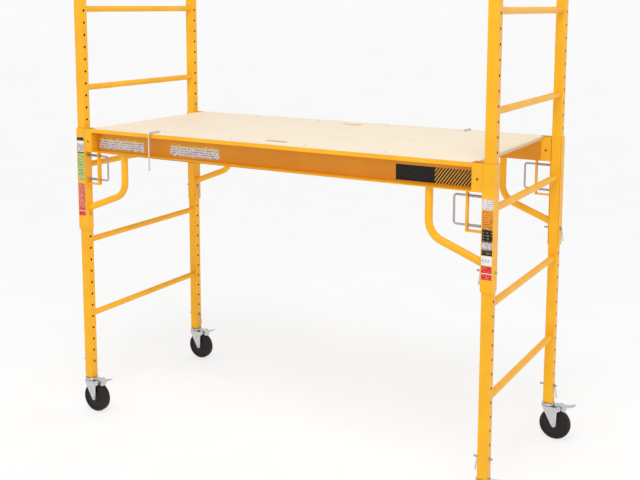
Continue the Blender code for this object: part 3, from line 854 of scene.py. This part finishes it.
# A stack of labels runs down from its top. Each row: look, space above it and height.
SLEEVE_LABEL_TOP = {"front_right": 1.1350, "front_left": 1.2150}
SLEEVE_LABELS = {
    "front_right": [
        ("pale_blue", 0.0, 0.035),
        ("amber", 0.0025, 0.0635),
        ("black", 0.001, 0.044),
        ("grey_print", 0.0015, 0.021),
        ("black", 0.0015, 0.021),
        ("white", 0.0015, 0.011),
        ("bars", 0.0, 0.0115),
        ("white", 0.0, 0.009),
        ("red", 0.0025, 0.025),
        ("white", 0.0, 0.0025),
        ("red", 0.0, 0.020),
    ],
    "front_left": [
        ("black", 0.0, 0.015),
        ("white", 0.0, 0.012),
        ("grey_print", 0.0015, 0.033),
        ("dark", 0.0015, 0.004),
        ("green", 0.0025, 0.113),
        ("pink", 0.015, 0.107),
        ("red", 0.0, 0.011),
        ("white", 0.0, 0.0025),
        ("red", 0.0, 0.0205),
    ],
}
CHANNEL_WALL = 0.003
CHANNEL_LABEL_X = (-0.717, -0.337)
CHANNEL_LABEL_WIDE = 0.243
# Each band: look, bottom and top.
CHANNEL_LABEL_BANDS = [("tall_print", 1.168, 1.205), ("yellow", 1.205, 1.216)]
# Left, right, bottom and top.
HAZARD_STRIP = (0.551, 0.834, 1.164, 1.220)
SEAM_X = (0.8867, 0.8878)
SEAM_Y = 0.3972
SEAM_CORNER = 0.0003
SEAM_TOP_GAP = 0.0005


def film(name, low, high, face_y, material, out=-1, corner=LABEL_CORNER):
    """A thin label on a face that looks along Y, to the side given by out."""
    outline = rounded(low, high, corner)
    sheet = plate(outline, lambda a, b, depth: (a, face_y + out * (FILM_LIFT + depth), b), FILM)
    return piece(name, sheet, material, "platform")


def stick_stack(corner):
    """The labels on one sleeve, one under the other."""
    face_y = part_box(f"post_sleeve_{corner}")[0].y
    x = POST[corner].x + LABEL_OFFSET
    z = SLEEVE_LABEL_TOP[corner]
    for index, (look, space, height) in enumerate(SLEEVE_LABELS[corner]):
        top = z - space
        z = top - height
        low = (x - LABEL_HALF, z)
        film(f"label_{corner}_{index}", low, (x + LABEL_HALF, top), face_y, FILMS[look])


def make_labels():
    """Labels on two sleeves, and two labels and the striped strip on the front channel."""
    for corner in SLEEVE_LABELS:
        stick_stack(corner)
    web_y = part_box("side_channel_front")[1].y - CHANNEL_WALL
    for number, x in enumerate(CHANNEL_LABEL_X):
        left = CENTRE_X + x - CHANNEL_LABEL_WIDE / 2
        for look, bottom, top in CHANNEL_LABEL_BANDS:
            high = (left + CHANNEL_LABEL_WIDE, top)
            film(f"channel_label_{number}_{look}", (left, bottom), high, web_y, FILMS[look])
    left, right, bottom, top = HAZARD_STRIP
    film("hazard_strip", (CENTRE_X + left, bottom), (CENTRE_X + right, top), web_y, HAZARD)


def make_seam_shades():
    """A dark strip of painted shade where each bracket's end block meets its sleeve."""
    bottom = CHANNEL_BOTTOM_Z
    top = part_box("side_channel_front")[1].z - SEAM_TOP_GAP
    for name, (sx, sy) in CORNERS.items():
        low, high = sorted(CENTRE_X + sx * x for x in SEAM_X)
        film(f"seam_{name}", (low, bottom), (high, top), sy * SEAM_Y, FILMS["seam"], sy, SEAM_CORNER)


# ---------------------------------------------------------------- carried-over nodes


def refine(node, material, width):
    """Gives a CAD node its finish and small round edges. Its mesh stays as it is."""
    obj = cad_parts[node]
    obj.data.materials.clear()
    obj.data.materials.append(material)
    weld = obj.modifiers.new("weld", "WELD")
    weld.merge_threshold = 0.00001
    flat = obj.modifiers.new("flat", "DECIMATE")
    flat.decimate_type = "DISSOLVE"
    flat.angle_limit = math.radians(1)
    add_bevel(obj, width)
    obj.data.shade_smooth()
    smooth = obj.modifiers.new("normals", "WEIGHTED_NORMAL")
    smooth.keep_sharp = True


def finish_nodes():
    for side in SIDES:
        # The side channels take the yellow with painted shade on their webs.
        refine(f"side_channel_{side}", RECESS_SHADED_YELLOW, 0.0008)
    for name in CORNERS:
        refine(f"post_sleeve_{name}", YELLOW, 0.0007)
        refine(f"caster_stem_{name}", ZINC, 0.0005)
        refine(f"caster_fork_{name}", ZINC, 0.0006)
        refine(f"brake_pedal_{name}", ZINC, 0.0005)
    for number in CROSS_MEMBERS:
        refine(f"deck_cross_member_{number}", YELLOW, 0.0006)
    refine("deck_panel", WOOD, 0.0006)


# ---------------------------------------------------------------- stage

FLOOR_HOLE = 0.02
FLOOR_REACH = 7.0
WALL_RADIUS = 10.0
WALL_TOP = 9.0
FLOOR_GLOW = 0.70


def make_floor():
    """A pale floor whose rim curves up into the backdrop all the way round."""
    made = Nodes("floor")
    shade = made.ramp(made.noise(3.0), [(0.3, (0.29,) * 3), (0.7, (0.31,) * 3)])
    made.set(Base_Color=shade, Roughness=0.9, Specular_IOR_Level=0.0)
    made.set(Emission_Color=(1.0, 1.0, 1.0, 1.0), Emission_Strength=FLOOR_GLOW)
    rise = WALL_RADIUS - FLOOR_REACH
    curve = [(FLOOR_HOLE, 0.0)] + arc((FLOOR_REACH, rise), rise, 270, 360, 16)
    bowl = lathe((0, 0, 0), Z_AXIS, curve + [(WALL_RADIUS, WALL_TOP)], 96)
    lid = [face for face in bowl.faces if face.calc_center_median().z > WALL_TOP - 0.1]
    bmesh.ops.delete(bowl, geom=lid, context="FACES")
    floor = object_of("floor", bowl)
    floor.data.materials.append(made.material)
    floor.data.shade_smooth()


KEY_PLACE = (1.5, -3.0, 6.5)
KEY_AIM = (0.0, 0.0, 1.0)
KEY_SIZE = 3.0
KEY_POWER = 170


def make_key_light():
    data = bpy.data.lights.new("key", "AREA")
    data.shape = "DISK"
    data.size = KEY_SIZE
    data.energy = KEY_POWER
    lamp = bpy.data.objects.new("key", data)
    lamp.location = KEY_PLACE
    lamp.rotation_euler = (Vector(KEY_AIM) - Vector(KEY_PLACE)).to_track_quat("-Z", "Y").to_euler()
    bpy.context.scene.collection.objects.link(lamp)


WORLD_STRENGTH = 0.50


def make_world():
    world = bpy.data.worlds.new("studio")
    world.use_nodes = True
    background = world.node_tree.nodes["Background"]
    background.inputs["Color"].default_value = (1.0, 1.0, 1.0, 1.0)
    background.inputs["Strength"].default_value = WORLD_STRENGTH
    bpy.context.scene.world = world
    bpy.context.scene.view_settings.view_transform = "Standard"


# Angles are in radians, and the lens and its film are in millimetres.
CAMERA_PLACE = (CENTRE_X + 1.999, -3.372, 1.7705)
CAMERA_YAW = 0.5277
CAMERA_PITCH = 0.1352
CAMERA_ROLL = -0.0016
CAMERA_LENS = 54.04
CAMERA_FILM = 36.0
CAMERA_SHIFT = (-0.0003, -0.1624)


def make_camera():
    data = bpy.data.cameras.new("camera")
    data.sensor_width = CAMERA_FILM
    data.lens = CAMERA_LENS
    data.shift_x, data.shift_y = CAMERA_SHIFT
    camera = bpy.data.objects.new("camera", data)
    camera.location = CAMERA_PLACE
    camera.rotation_euler = (math.pi / 2 - CAMERA_PITCH, CAMERA_ROLL, CAMERA_YAW)
    bpy.context.scene.collection.objects.link(camera)
    bpy.context.scene.camera = camera


def main():
    make_camera()
    make_world()
    make_floor()
    make_key_light()
    make_posts()
    make_rungs()
    make_braces()
    make_spring_pins()
    make_cross_pins()
    make_deck_latches()
    make_rivets()
    make_wheels()
    make_raceways()
    make_pedal_ribs()
    make_labels()
    make_seam_shades()
    finish_nodes()


main()
